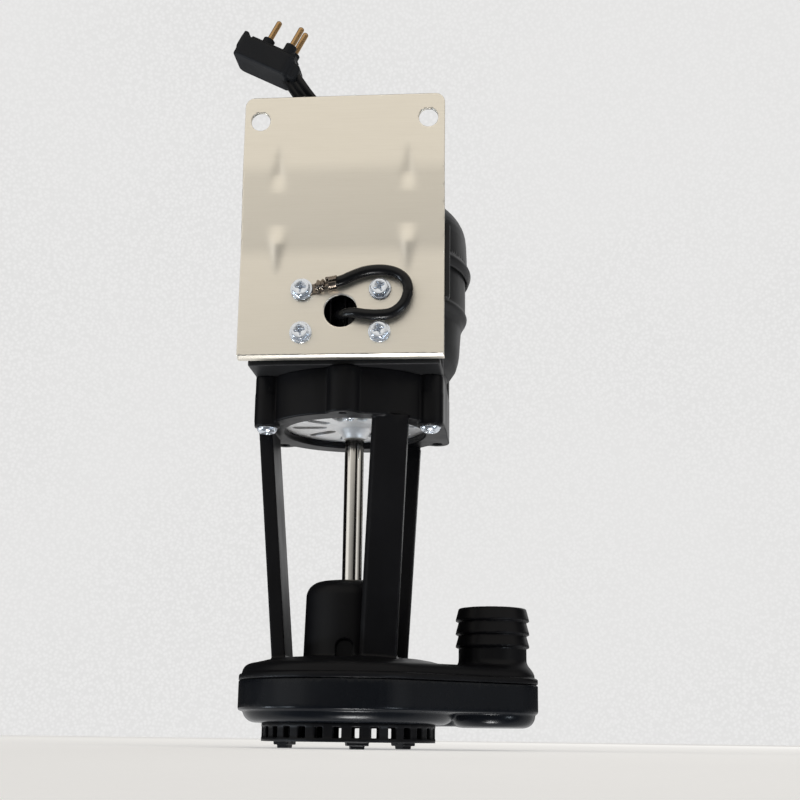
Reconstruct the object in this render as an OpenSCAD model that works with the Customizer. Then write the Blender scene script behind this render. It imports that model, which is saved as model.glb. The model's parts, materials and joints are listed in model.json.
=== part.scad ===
// Pedestal pump: a vertical motor on a three-legged pedestal over a
// centrifugal volute that stands on its own inlet strainer.
// Frame: +Z up along the shaft, origin on the shaft axis at the feet,
// -Y is the side of the mounting bracket.  Millimetres.

/* [Shaft and rotor] */
// Diameter of the motor shaft
shaft_d = 8; // [7.6:0.1:8.4]
// Level of the lower end of the shaft
shaft_z0 = 17; // [15:0.5:18]
// Level of the upper end of the shaft
shaft_z1 = 212; // [209:0.5:216]
// Diameter of the rotor
rotor_d = 31.6; // [30:0.1:31.8]
// Number of impeller vanes
vane_n = 6; // [4:1:8]

/* [Strainer] */
// Height of the feet under the strainer
foot_h = 2.6; // [1.8:0.1:3.2]
// Outer radius of the strainer ring
strainer_r = 34.6; // [33:0.1:35]
// Number of bars around the strainer
bar_n = 30; // [20:1:34]
// Width of one strainer bar
bar_w = 3.9; // [2.5:0.1:4.2]

/* [Volute] */
// Outer radius of the round part of the casing
casing_r = 44.3; // [43.5:0.1:46]
// Level of the bottom of the vertical rim
rim_z0 = 14.2; // [13.6:0.1:15]
// Level of the seam between the casing halves
seam_z = 25.9; // [25:0.1:27]
// Level of the top of the casing
casing_top = 35; // [34.5:0.1:36]
// Distance of the outlet from the shaft, across
outlet_x = 57; // [56:0.5:60]
// Distance of the outlet from the shaft, towards the back
outlet_y = 14; // [8:0.5:15]
// Radius of the casing end around the outlet
outlet_end_r = 18.4; // [18:0.1:20]
// Radius of the outlet waterway
outlet_bore_r = 9.9; // [9:0.1:10]
// Radius of the outlet neck
outlet_neck_r = 13.9; // [13.5:0.1:14.3]
// Radius of the hose barbs at their lips
outlet_lip_r = 15.1; // [14.8:0.1:15.6]
// Level of the outlet mouth
outlet_top = 56.6; // [54:0.1:60]

/* [Pedestal] */
// Radius of the bearing hub at its foot
hub_r = 18.9; // [18:0.1:19.5]
// Level of the top of the hub
hub_top = 66.4; // [60:0.1:70]
// Thickness of a leg
leg_t = 5.6; // [5:0.1:7]
// Distance of a leg from the shaft at the casing
leg_r_low = 27.5; // [26:0.5:29]
// Distance of a leg from the shaft at the motor ring
leg_r_high = 36; // [34:0.5:36.5]
// Level of the underside of the motor ring
ring_z = 128; // [126:0.5:129]
// Outer radius of the motor ring
ring_r = 38.5; // [38:0.1:39.5]
// Radius of the opening in the motor ring
ring_open_r = 29.4; // [28:0.1:30]
// Corner screw spacing, across
ring_dx = 66.6; // [65:0.2:68]
// Corner screw spacing, front to back
ring_dy = 42; // [40:0.5:44]

/* [Motor cover] */
// Radius of the cap at its drip lip
cap_lip_r = 48.6; // [48.4:0.1:49]
// Level of the top of the cap
cap_top = 228.4; // [227:0.2:231]

/* [Bracket] */
// Width of the bracket
bracket_w = 81; // [80:0.5:82]
// Sheet thickness
bracket_t = 1.2; // [1:0.1:1.5]
// Distance of the lower front face from the shaft
bracket_y = 52.2; // [52:0.1:53]
// Level of the bottom of the bracket
bracket_z0 = 147; // [147:0.1:147.5]
// Level of the top of the bracket
bracket_z1 = 256; // [254:0.5:260]
// Forward step between the lower and the upper face
joggle = 2.4; // [1:0.1:4]
// Spacing of the two mounting holes
mount_dx = 67.9; // [66:0.1:69]
// Level of the mounting holes
mount_z = 245.4; // [243:0.1:247]
// Diameter of the mounting holes
mount_d = 7.7; // [6:0.1:8]
// Diameter of the cable hole
cable_d = 13; // [12:0.1:14]
// Spacing of the bracket screws, across
screw_dx = 30.8; // [30:0.1:32]
// Level of the lower bracket screws
screw_z0 = 157; // [156.5:0.1:158]
// Level of the upper bracket screws
screw_z1 = 174.3; // [173.5:0.1:175]

/* [Leads] */
// Diameter of the earth lead
earth_d = 4.1; // [3.6:0.1:4.2]
// Width of the flat supply lead
lead_w = 8; // [7:0.1:8.5]
// Thickness of the flat supply lead
lead_t = 3.6; // [3:0.1:4]
// Diameter of a plug pin
pin_d = 2.4; // [2.2:0.1:2.8]

/* [Hidden] */
$fn = 72;
e = 0.01;
sr = shaft_d / 2;
rx = ring_dx / 2;
ry = ring_dy / 2;
by = bracket_y;
black = [0.07, 0.07, 0.078];
steel = [0.75, 0.74, 0.71];
zinc = [0.78, 0.79, 0.8];
cable_z = (screw_z0 + screw_z1) / 2;
bend1 = 190;
bend2 = 225;

// ---- helpers -------------------------------------------------------
module tube(r0, r1, z0, z1) {
  translate([0, 0, z0]) difference() {
    cylinder(r = r1, h = z1 - z0);
    translate([0, 0, -1]) cylinder(r = r0, h = z1 - z0 + 2);
  }
}
// Plan outline of the volute, drawn in by d on every side
module outline(d) {
  dd = sqrt(outlet_x * outlet_x + outlet_y * outlet_y);
  a0 = atan2(outlet_y, outlet_x);
  a1 = acos((casing_r - outlet_end_r) / dd);
  R = casing_r - d;
  r = outlet_end_r - d;
  circle(r = R);
  translate([outlet_x, outlet_y]) circle(r = r);
  // straight sides, a hair inside the tangent lines of the two circles
  polygon([for (q = [[0, 0, R, -1], [outlet_x, outlet_y, r, -1], [outlet_x, outlet_y, r, 1], [0, 0, R, 1]])
    [q[0] + (q[2] - 0.2) * cos(a0 + q[3] * a1), q[1] + (q[2] - 0.2) * sin(a0 + q[3] * a1)]]);
}
module slab(d, z0, z1) { translate([0, 0, z0]) linear_extrude(z1 - z0) outline(d); }
module corners(zs = [1, -1]) { for (x = [-1, 1], y = zs) translate([x * rx, y * ry, 0]) children(); }
// Small screw, head down at z = 0, shank up
module pan_screw(head_r, head_h, shank_r, len) {
  difference() {
    union() {
      translate([0, 0, -head_h * 0.55]) cylinder(r = head_r, h = head_h * 0.55);
      translate([0, 0, -head_h]) cylinder(r1 = head_r * 0.72, r2 = head_r, h = head_h * 0.45);
      translate([0, 0, -e]) cylinder(r = shank_r, h = len);
    }
    for (a = [0, 90]) rotate([0, 0, a]) translate([-head_r * 0.6, -0.45, -head_h - 1]) cube([head_r * 1.2, 0.9, 1 + head_h * 0.6]);
  }
}

// ---- wet end -------------------------------------------------------
module strainer() color(black) {
  tube(strainer_r - 3, strainer_r, 8.2, 9.7);
  difference() {
    translate([0, 0, foot_h]) cylinder(r = strainer_r, h = 1.6);
    for (i = [0:11]) rotate([0, 0, i * 30 + 15]) translate([10, -1.2, foot_h - 1]) cube([16, 2.4, 4]);
  }
  for (i = [0:bar_n - 1]) rotate([0, 0, i * 360 / bar_n])
    translate([strainer_r - 3, -bar_w / 2, foot_h + 1.6 - e]) cube([2.86, bar_w, 8.2 - foot_h - 1.6 + 2 * e]);
  for (a = [-76, 44, 164]) rotate([0, 0, a]) {
    translate([24.8, -4.2, foot_h - 1.3]) cube([6.4, 8.4, 1.3 + e]);
    translate([25.7, -2.7, 0]) cube([4.6, 5.4, foot_h]);
  }
}

module lower_casing() color([0.075, 0.077, 0.085]) difference() {
  union() {
    slab(0, rim_z0 + 0.6, seam_z);
    slab(0.5, rim_z0, rim_z0 + 0.7);
    rotate_extrude() polygon([[0, 9.7], [36.6, 9.7], [38.8, 10.2], [40.8, 11.4], [42, 12.9], [42.5, rim_z0 + e], [0, rim_z0 + e]]);
    translate([outlet_x, outlet_y, 0]) rotate_extrude()
      polygon([[0, 9], [12.4, 9], [14.6, 9.7], [16.2, 11.2], [17, rim_z0 + e], [0, rim_z0 + e]]);
    translate([0, 0, 9.85]) linear_extrude(rim_z0 - 9.85 + e) intersection() {
      outline(2.6);
      translate([24, 14.2]) square([33, 60]);
    }
  }
  slab(3, rim_z0 + 0.4, seam_z + 1);
  translate([0, 0, 12.2]) cylinder(r = 38, h = 4);
  translate([outlet_x, outlet_y, 11.6]) cylinder(r = 13.4, h = 4);
  translate([0, 0, 5]) cylinder(r = 13, h = 10);
}

module casing_seal() color([0.12, 0.12, 0.12]) translate([0, 0, seam_z]) linear_extrude(1.4) difference() {
  outline(1.3);
  outline(2.7);
}

// One leg: a flat bar that leans out from the casing to the motor ring
module leg(a, turn, w, bevel) {
  lean = atan((leg_r_high - leg_r_low) / (ring_z - casing_top));
  rotate([0, 0, a]) translate([leg_r_low, 0, casing_top - 1]) rotate([0, lean, 0]) rotate([0, 0, turn])
    linear_extrude((ring_z - casing_top) / cos(lean) + 4)
      polygon([[-leg_t / 2, -w / 2], [leg_t / 2 - bevel, -w / 2], [leg_t / 2, -w / 2 + bevel],
               [leg_t / 2, w / 2], [-leg_t / 2, w / 2]]);
}
module barb(z0, z1) {
  rotate_extrude() polygon([[outlet_bore_r, z0], [outlet_lip_r, z0], [outlet_lip_r, z0 + 0.7], [outlet_neck_r, z1 + e], [outlet_bore_r, z1 + e]]);
}
module frame() color(black) difference() {
  union() {
    // casing half
    slab(0, seam_z, 30.2);
    slab(1.1, 30.2 - e, 31.4);
    slab(2.4, 31.4 - e, 32.6);
    slab(4.2, 32.6 - e, 33.8);
    translate([0, 0, 31]) cylinder(r1 = 42.6, r2 = 37.4, h = casing_top - 31);
    // hub
    rotate_extrude() polygon([[0, 33], [hub_r, 33], [hub_r - 0.6, 59], [hub_r - 1.3, 62.4], [hub_r - 2.8, 64.7],
      [hub_r - 5, 66], [hub_r - 8, hub_top], [0, hub_top]]);
    // foot of the outlet
    translate([outlet_x, outlet_y, 0]) rotate_extrude() polygon([[0, 31], [17.4, 31], [15.6, 33.2], [15.3, 33.8], [0, 33.8]]);
    // legs
    leg(180, 0, 20, 0.6);
    leg(-60, 60 - 90, 14.6, 1.7);
    mirror([0, 1, 0]) leg(-60, 60 - 90, 14.6, 1.7);
    // motor ring
    translate([0, 0, ring_z]) {
      cylinder(r = ring_r, h = 19);
      corners([1]) cylinder(r = 5.2, h = 19);
      corners([-1]) translate([0, 0, -1.8]) cylinder(r = 5.2, h = 20.8);
      for (x = [-1, 1]) translate([x * rx - 5.2, -ry, 0]) cube([10.4, ring_dy, 19]);
      translate([0, -35.6, 0]) cylinder(r = 6.9, h = 19);
    }
  }
  // volute and waterway
  slab(3.8, seam_z - 1, 29.6);
  translate([0, 0, seam_z - 1]) cylinder(r = 38.5, h = 32 - seam_z + 1);
  translate([0, 0, seam_z - e]) linear_extrude(1.4 + e) difference() { outline(1.2); outline(2.8); }
  translate([outlet_x, outlet_y, seam_z]) cylinder(r = outlet_bore_r + 0.8, h = 20);
  // hub cavity, shaft passage and weep notch
  translate([0, 0, 35]) cylinder(r = 15.9, h = 27);
  translate([0, 0, 20]) cylinder(r = 5.4, h = 60);
  translate([0, 0, casing_top]) translate([-3.4, -30, 0.05]) cube([6.8, 13, 3.4]);
  translate([0, -17, casing_top + 3.45]) rotate([90, 0, 0]) cylinder(r = 3.4, h = 13);
  // motor seat
  translate([0, 0, ring_z - 10]) cylinder(r = ring_open_r, h = 20);
  translate([0, 0, 130.6]) cylinder(r = 36.5, h = 30);
  corners() translate([0, 0, ring_z - 5]) cylinder(r = 2.1, h = 40);
  translate([0, -38.4, ring_z - 5]) cylinder(r = 1.5, h = 17);
}

// Upper part of the outlet, moulded in one with the frame
module frame_outlet() color(black) translate([outlet_x, outlet_y, 0]) difference() {
  union() {
    rotate_extrude() polygon([[0, 33.8], [15.3, 33.8], [14.5, 35.6], [outlet_neck_r, 38.5], [outlet_neck_r, outlet_top - 5], [0, outlet_top - 5]]);
    barb(40.6, 45.6);
    barb(45.8, 51.0);
    barb(51.2, outlet_top);
  }
  translate([0, 0, 30]) cylinder(r = outlet_bore_r, h = 40);
  translate([0, 0, 33.7]) cylinder(r1 = outlet_bore_r + 0.9, r2 = outlet_bore_r - 0.1, h = 1);
}

module impeller() color([0.85, 0.84, 0.8]) difference() {
  union() {
    translate([0, 0, 25.6]) cylinder(r = 30, h = 2);
    translate([0, 0, 17]) cylinder(r = 8, h = 13);
    for (i = [0:vane_n - 1]) rotate([0, 0, i * 360 / vane_n]) translate([6, 2, 17.5]) rotate([0, 0, 14]) cube([22, 1.8, 8.2]);
  }
  translate([0, 0, 10]) cylinder(r = sr + 0.02, h = 30);
}
module shaft() color([0.8, 0.79, 0.77]) {
  translate([0, 0, shaft_z0]) cylinder(r = sr, h = shaft_z1 - shaft_z0 - 1);
  translate([0, 0, shaft_z1 - 1 - e]) cylinder(r1 = sr, r2 = sr - 1, h = 1);
}
module slinger() color([0.1, 0.1, 0.1]) rotate_extrude()
  polygon([[sr + 0.02, 50], [7, 50], [8, 51.4], [13, 49.2], [13.6, 50], [8, 54], [7, 56], [sr + 0.02, 56]]);

// ---- motor ---------------------------------------------------------
module shield_slots(z) for (i = [0:9]) rotate([0, 0, i * 36]) {
  translate([14, -2.1, z]) cube([10.5, 4.2, 6]);
  translate([14, 0, z]) cylinder(r = 2.1, h = 6);
  translate([24.5, 0, z]) cylinder(r = 2.1, h = 6);
}
module bolt_circle(r) for (i = [0:3]) rotate([0, 0, 45 + i * 90]) translate([r, 0, 0]) children();
module lower_end_shield() color([0.82, 0.82, 0.82]) difference() {
  union() {
    rotate_extrude() polygon([[0, 125.5], [4.9, 125.5], [5.6, 127.2], [7.4, 129.6], [10.6, 130.9], [36.3, 130.9], [36.3, 150],
      [35.2, 150], [35.2, 132.4], [8.6, 132.4], [8.6, 141], [0, 141]]);
  }
  translate([0, 0, 120]) cylinder(r = sr + 0.4, h = 30);
  translate([0, 0, 131]) cylinder(r = 6.5, h = 20);
  shield_slots(129);
  bolt_circle(33.2) translate([0, 0, 128]) cylinder(r = 1.7, h = 10);
  translate([0, -19.5, 128]) cylinder(r = 1.5, h = 10);
}
module lower_bearing() color([0.72, 0.53, 0.3]) tube(sr + 0.04, 6.48, 131, 141);
module upper_bearing() color([0.72, 0.53, 0.3]) tube(sr + 0.04, 6.48, 186, 196);
module stator() color([0.45, 0.45, 0.47]) translate([0, 0, 150]) difference() {
  union() {
    tube(31.2, 36.3, 0, 32);
    tube(rotor_d / 2 + 0.3, 18.4, 0, 32);
    for (a = [0:3]) rotate([0, 0, a * 90]) translate([17.4, -7, 0]) cube([15, 14, 32]);
  }
  for (a = [0:3]) rotate([0, 0, a * 90 + 45]) translate([14, -1.2, -1]) cube([6, 2.4, 34]);
  bolt_circle(33.2) translate([0, 0, -1]) cylinder(r = 1.75, h = 34);
}
module windings() color([0.72, 0.36, 0.16]) for (a = [0:3]) rotate([0, 0, a * 90]) translate([19.4, 0, 166]) difference() {
  union() {
    translate([0, -11.8, -19]) cube([8.8, 23.6, 38]);
    translate([0.8, -10.8, -22]) cube([7.2, 21.6, 44]);
  }
  translate([-1, -7.2, -16.2]) cube([12, 14.4, 32.4]);
}
module rotor() color([0.6, 0.6, 0.62]) difference() {
  union() {
    translate([0, 0, 152]) cylinder(r = rotor_d / 2, h = 28);
    translate([0, 0, 148.6]) cylinder(r = rotor_d / 2 - 1.2, h = 34.8);
  }
  translate([0, 0, 140]) cylinder(r = sr + 0.02, h = 50);
}
module thrust_washers() color([0.85, 0.82, 0.7]) {
  tube(sr + 0.02, 7, 141.4, 142.4);
  tube(sr + 0.02, 7, 184.6, 185.6);
}
module upper_end_shield() color([0.82, 0.82, 0.82]) difference() {
  rotate_extrude() polygon([[0, 186], [8.6, 186], [8.6, 194.4], [35.2, 194.4], [35.2, 182], [36.3, 182], [36.3, 196], [9.6, 196], [8.6, 197.4], [0, 197.4]]);
  translate([0, 0, 180]) cylinder(r = sr + 0.4, h = 30);
  translate([0, 0, 180]) cylinder(r = 6.5, h = 16);
  shield_slots(193);
  bolt_circle(33.2) translate([0, 0, 190]) cylinder(r = 1.7, h = 10);
}
module motor_bolts() color(zinc) bolt_circle(33.2) {
  translate([0, 0, 132.4]) cylinder(r = 1.6, h = 67.2);
  translate([0, 0, 196]) cylinder(r = 3, h = 2.4, $fn = 6);
  translate([0, 0, 132.4]) cylinder(r = 2, h = 2.2);
}
module fan() color([0.2, 0.2, 0.22]) difference() {
  union() {
    translate([0, 0, 200.5]) cylinder(r = 8, h = 9);
    translate([0, 0, 200.5]) cylinder(r = 31, h = 1.4);
    for (i = [0:7]) rotate([0, 0, i * 45]) translate([6, -0.8, 201]) cube([24, 1.6, 8]);
  }
  translate([0, 0, 195]) cylinder(r = sr + 0.02, h = 20);
}
module motor_housing() color([0.08, 0.08, 0.088]) difference() {
  union() {
    rotate_extrude() polygon([[36.5, 147], [38.4, 147], [38.4, 151.6], [40.4, 153.2], [42.3, 156], [43.3, 159.4], [43.7, 162], [44.4, 172.4], [45.6, 174.8], [46.8, 176.6],
      [46.9, 178.2], [46.2, 179.4], [46.2, 200], [43.6, 200], [43.6, 177], [41.6, 173], [41.2, 161], [39.6, 157], [36.5, 155]]);
    corners() translate([0, 0, 147.02]) cylinder(r = 5.1, h = 20);
    // front flange, resting on the motor ring
    translate([-38.2, -41, 147.01]) cube([76.4, 24, 3]);
    intersection() {
      translate([-37.5, -by + bracket_t, 153.8]) cube([75, 12.8, 38.4]);
      difference() { translate([0, 0, 140]) cylinder(r = 64, h = 60); translate([0, 0, 139]) cylinder(r = 39.2, h = 62); }
    }
  }
  // cable window with its ribs left standing
  for (q = [[-7.9, 2.6], [-4.6, 5.2], [1.4, 2.6], [5, 2.6]]) translate([q[0], -by - 1, cable_z - 8]) cube([q[1], 20, 16]);
  translate([-8.4, -by, cable_z - 8]) cube([16.8, 6.4, 16]);
  for (x = [-1, 1], z = [screw_z0, screw_z1]) translate([x * screw_dx / 2, -40, z]) rotate([90, 0, 0]) cylinder(r = 1.95, h = 20);
  corners() translate([0, 0, 140]) cylinder(r = 1.95, h = 24);
  translate([0, 0, 140]) cylinder(r = 36.5, h = 43);
}
module motor_cap() color([0.08, 0.08, 0.088]) difference() {
  union() {
    rotate_extrude() polygon([[0, cap_top], [22, cap_top - 0.6], [32, cap_top - 1.8], [37.6, cap_top - 3.8], [41.6, cap_top - 6.8], [44.4, cap_top - 9.8],
      [46.2, cap_top - 14], [46.8, 206], [47, 200.4], [cap_lip_r, 198], [cap_lip_r, 196.4], [47.4, 193.8], [46.5, 193.8], [46.5, 200.2], [43.9, 200.2],
      [43.9, cap_top - 12.4], [41.6, cap_top - 9.2], [36.6, cap_top - 6], [30, cap_top - 4.6], [0, cap_top - 3]]);
    // hood over the supply lead
    intersection() {
      translate([-36.4, -6, 218]) cube([9.6, 9, 18.4]);
      translate([0, 0, 200]) cylinder(r = 39, h = 60);
    }
    // saddle against the back of the bracket
    difference() {
      union() {
        translate([-38, -50.6, 200.4]) cube([78.2, 4.2, 18]);
        translate([37.7, -50.6, 171]) cube([4.7, 3.6, 31]);
        translate([-30, -50.6, 200.4]) cube([60, 12, 12]);
      }
      translate([0, 0, 180]) cylinder(r = 46.4, h = 60);
    }
  }
}

// ---- fasteners -----------------------------------------------------
module ring_screws() color(zinc) corners([-1]) translate([0, 0, ring_z - 1.8]) pan_screw(4.3, 2.4, 1.9, 30);
module shield_screw() color(zinc) translate([0, -19.5, 130.9]) pan_screw(2.6, 1.5, 1.4, 5);
module hex_screw(len) difference() {
  union() {
    cylinder(r = 4.4, h = 0.9);
    cylinder(r = 3.67, h = 3.4, $fn = 6);
    translate([0, 0, -len]) cylinder(r = 1.9, h = len + e);
  }
  for (a = [0, 90]) rotate([0, 0, a]) translate([-2, -0.5, 1.6]) cube([4, 1, 3]);
}
module bracket_screws() color(zinc) for (x = [-1, 1], z = [screw_z0, screw_z1])
  translate([x * screw_dx / 2, -by - (x < 0 && z > cable_z ? 0.8 : 0), z]) rotate([90, 0, 0])
    rotate([0, 0, 20 * x + z]) hex_screw(9);

// ---- bracket -------------------------------------------------------
module bracket() color(steel) {
  t = bracket_t;
  y1 = -by;
  y2 = -by - joggle;
  w = bracket_w / 2;
  difference() {
    union() {
      intersection() {
        // side profile, drawn in Y and Z and swept across
        translate([-w - 1, 0, 0]) rotate([90, 0, 90]) linear_extrude(bracket_w + 2)
          polygon([[y1 + 8, bracket_z0], [y1 + 0.7, bracket_z0], [y1, bracket_z0 + 0.7], [y1, bend1], [y2, bend2], [y2, bracket_z1 + 1],
            [y2 + t, bracket_z1 + 1], [y2 + t, bend2 + 0.05], [y1 + t, bend1 + 0.05], [y1 + t, bracket_z0 + t], [y1 + 8, bracket_z0 + t]]);
        // front outline with its rounded top corners
        translate([0, -30, 0]) rotate([90, 0, 0]) linear_extrude(40) polygon(concat([[-w, bracket_z0 - 1], [w, bracket_z0 - 1]],
          [for (i = [0:6]) [w - 4 + 4 * cos(i * 15), bracket_z1 - 4 + 4 * sin(i * 15)]],
          [for (i = [6:12]) [-w + 4 + 4 * cos(i * 15), bracket_z1 - 4 + 4 * sin(i * 15)]]));
      }
      // stiffening darts, raised at the lower bend and pressed in at the upper one
      for (x = [-26, 26]) {
        difference() {
          translate([x, y1 + 0.55, 182]) cylinder(r1 = 0.4, r2 = 2.2, h = 15);
          translate([x - 5, y1 + t - 0.3, 175]) cube([10, 10, 30]);
        }
        translate([x, y2 + 1.45, 216]) cylinder(r1 = 1.2, r2 = 0.9, h = 18);
      }
    }
    for (x = [-1, 1]) {
      translate([x * mount_dx / 2, -40, mount_z]) rotate([90, 0, 0]) cylinder(r = mount_d / 2, h = 30);
      for (z = [screw_z0, screw_z1]) translate([x * screw_dx / 2, -40, z]) rotate([90, 0, 0]) cylinder(r = 2.2, h = 30);
    }
    translate([0, -40, cable_z]) rotate([90, 0, 0]) cylinder(r = cable_d / 2, h = 30);
  }
}

// ---- leads ---------------------------------------------------------
function unit(v) = v / norm(v);
function tang(p, i) = unit(p[min(i + 1, len(p) - 1)] - p[max(i - 1, 0)]);
// Tube along points p; n gives the direction of the thin side at each point
module sweep(p, n, w, t, k) {
  m = len(p);
  pts = [for (i = [0:m - 1]) let (d = tang(p, i), s = unit(cross(d, n[i])), u = cross(s, d))
    for (j = [0:k - 1]) p[i] + s * cos(j * 360 / k) * w / 2 + u * sin(j * 360 / k) * t / 2];
  polyhedron(points = pts, faces = concat(
    [for (i = [0:m - 2], j = [0:k - 1]) [i * k + j, i * k + (j + 1) % k, (i + 1) * k + (j + 1) % k]],
    [for (i = [0:m - 2], j = [0:k - 1]) [i * k + j, (i + 1) * k + (j + 1) % k, (i + 1) * k + j]],
    [[for (j = [k - 1:-1:0]) j]],
    [[for (j = [0:k - 1]) (m - 1) * k + j]]));
}
EARTH = [[-2.2, -36.4, 164.6], [-2.2, -42, 164.6], [-1.9, -46, 164.6], [-0.2, -50, 164.6], [2.8, -53.6, 164.3], [6, -55.5, 163.7], [10, -55.8, 163],
  [15, -55.8, 162.7], [19.6, -55.6, 163.2], [23.2, -55.4, 165.3], [25.6, -55.2, 168.6], [26.6, -55.2, 172.6], [25.8, -55.2, 176.4],
  [23, -55.2, 179.3], [19, -55.2, 180.8], [14.4, -55.2, 181.2], [9.6, -55.2, 180.6], [5, -55.2, 179], [1, -55.2, 177.2], [-3.4, -55.2, 176]];
module earth_lead() color([0.05, 0.05, 0.05]) sweep(EARTH, [for (q = EARTH) [0.08, 0.05, 1]], earth_d, earth_d, 8);
module ring_terminal() color([0.5, 0.36, 0.2]) {
  translate([-screw_dx / 2, -by, screw_z1]) rotate([90, 0, 0]) difference() {
    union() {
      cylinder(r = 3.9, h = 0.8);
      translate([0, -1.9, 0]) cube([7.4, 4.2, 0.8]);
    }
    translate([0, 0, -1]) cylinder(r = 2.1, h = 4);
  }
  translate([-8.6, -55.2, 174.7]) rotate([0, 76, 0]) tube(2.06, 2.75, 0, 8);
  translate([-10.6, -54.4, 173.2]) cube([3.4, 2.2, 3]);
}
CORD = [[-31.6, 3, 230.8], [-31.6, 8, 230.8], [-31.2, 13.4, 230.8], [-29, 19.2, 230.8], [-25, 24.2, 230.8], [-19.4, 28.2, 230.8], [-12.6, 30.8, 230.8], [-5, 31.9, 230.8],
  [3, 31.8, 230.8], [10.6, 30, 230.8], [17.4, 26.6, 230.8], [23.2, 21.8, 230.8], [27.8, 15.6, 230.8], [30.7, 8.6, 230.8], [31.8, 1, 230.8], [30.9, -6.4, 231],
  [28, -13.4, 231.4], [23.6, -19.8, 232.2], [18, -25.6, 233.6], [11.8, -30.8, 235.8], [5.2, -35.6, 239], [-1.2, -39.8, 243.2], [-7.2, -43.4, 248],
  [-12.8, -46.4, 253.4], [-17.6, -48.6, 259], [-21.4, -49.6, 264.4], [-24, -50, 268.4]];
CORD_N = [for (i = [0:len(CORD) - 1]) i < 3 ? [-1, 0.1 * i, 0] : i < 17 ? [CORD[i][0], CORD[i][1], 0] : [24 - 1.3 * i, -20, (i - 17) * 0.6]];
// Tapered boot around the start of the supply lead
module boot_ring(i, w, h) {
  d = tang(CORD, i);
  translate(CORD[i] + [0, i == 0 ? 0.22 : 0, 0]) rotate([0, 0, atan2(d[1], d[0])]) translate([-0.2, -w / 2, -h / 2]) cube([0.4, w, h]);
}
module strain_relief() color([0.06, 0.06, 0.06]) for (i = [0:3]) hull() {
  boot_ring(i, 7.4 - i * 0.6, 10.6 - i * 0.5);
  boot_ring(i + 1, 6.8 - i * 0.6, 10.1 - i * 0.5);
}
module power_cord() color([0.05, 0.05, 0.05]) sweep(CORD, CORD_N, lead_w, lead_t, 10);
module plug_body() color([0.06, 0.06, 0.065]) translate([-32, -49, 274.6]) rotate([0, 27, 0]) {
  hull() for (x = [-11, 8], y = [-5.5, 5.5]) translate([x, y, -5.6]) cylinder(r = 2.8, h = 9.4, $fn = 32);
  hull() for (y = [-4, 4]) { translate([8, y, -4.6]) cylinder(r = 2.6, h = 7, $fn = 32); translate([12.4, y * 0.6, -4]) cylinder(r = 2, h = 4, $fn = 32); }
  translate([-12, -4.6, 3.8 - e]) cube([21.6, 9.2, 2]);
  translate([-5.4, 0, 5.7]) cylinder(r = 2.5, h = 3.2);
  for (y = [-3.4, 3.4]) translate([5.8, y, 5.7]) cylinder(r = 2.5, h = 3.2);
}
module plug_pins() color([0.75, 0.52, 0.2]) translate([-32, -49, 274.6]) rotate([0, 27, 0])
  for (q = [[-5.4, 0, 16.8], [5.8, -3.4, 16.8], [5.8, 3.4, 18.2]]) translate([q[0], q[1], 0]) {
    translate([0, 0, 8.9]) cylinder(r = pin_d / 2, h = q[2] - 8.9);
    translate([0, 0, q[2]]) intersection() { sphere(r = pin_d / 2); translate([-3, -3, -e]) cube([6, 6, 3]); }
  }

strainer();
lower_casing();
casing_seal();
frame();
frame_outlet();
impeller();
shaft();
slinger();
lower_end_shield();
lower_bearing();
stator();
windings();
rotor();
thrust_washers();
upper_end_shield();
upper_bearing();
motor_bolts();
fan();
motor_housing();
motor_cap();
ring_screws();
shield_screw();
bracket();
bracket_screws();
earth_lead();
ring_terminal();
strain_relief();
power_cord();
plug_body();
plug_pins();
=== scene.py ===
"""Looks of the pedestal pump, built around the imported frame. Lengths are millimetres until a mesh is made."""
import json
import math

import bpy
import bmesh
import numpy as np
from mathutils import Matrix, Vector


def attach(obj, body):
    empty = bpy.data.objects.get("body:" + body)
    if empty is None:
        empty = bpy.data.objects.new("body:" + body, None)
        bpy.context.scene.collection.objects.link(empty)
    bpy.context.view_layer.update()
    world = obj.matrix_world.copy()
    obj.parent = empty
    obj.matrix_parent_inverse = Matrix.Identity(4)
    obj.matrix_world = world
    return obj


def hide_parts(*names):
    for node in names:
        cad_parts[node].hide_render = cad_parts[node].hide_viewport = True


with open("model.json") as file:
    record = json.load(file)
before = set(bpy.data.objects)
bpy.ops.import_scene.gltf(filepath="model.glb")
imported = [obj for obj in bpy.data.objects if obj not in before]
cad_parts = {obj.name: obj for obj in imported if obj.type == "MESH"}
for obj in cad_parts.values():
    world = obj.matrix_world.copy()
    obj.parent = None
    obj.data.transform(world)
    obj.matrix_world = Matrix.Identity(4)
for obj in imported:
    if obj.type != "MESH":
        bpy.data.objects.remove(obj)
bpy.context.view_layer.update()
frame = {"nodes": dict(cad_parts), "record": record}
NODE = frame["nodes"]
scene = bpy.context.scene
MM = 0.001

# ------------------------------------------------------------------ camera
cam = bpy.data.objects.new("camera", bpy.data.cameras.new("camera"))
scene.collection.objects.link(cam)
cam.data.sensor_width = 36
cam.data.lens = 1361.011 * 36 / 800
cam.data.clip_start = 0.02
cam.data.clip_end = 60
_fw = Vector((-0.09099, 0.96610, 0.24161)).normalized()
_r0 = Vector((math.cos(math.radians(5.38)), math.sin(math.radians(5.38)), 0))
_u0 = _r0.cross(_fw)
_c, _s = math.cos(math.radians(0.757)), math.sin(math.radians(0.757))
_rt, _up = _r0 * _c + _u0 * _s, _u0 * _c - _r0 * _s
_m = Matrix((_rt, _up, -_fw)).transposed().to_4x4()
_m.translation = Vector((0.071011, -0.553822, 0.004122))
cam.matrix_world = _m
scene.camera = cam
scene.view_settings.view_transform = "Standard"
scene.view_settings.look = "None"


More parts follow.
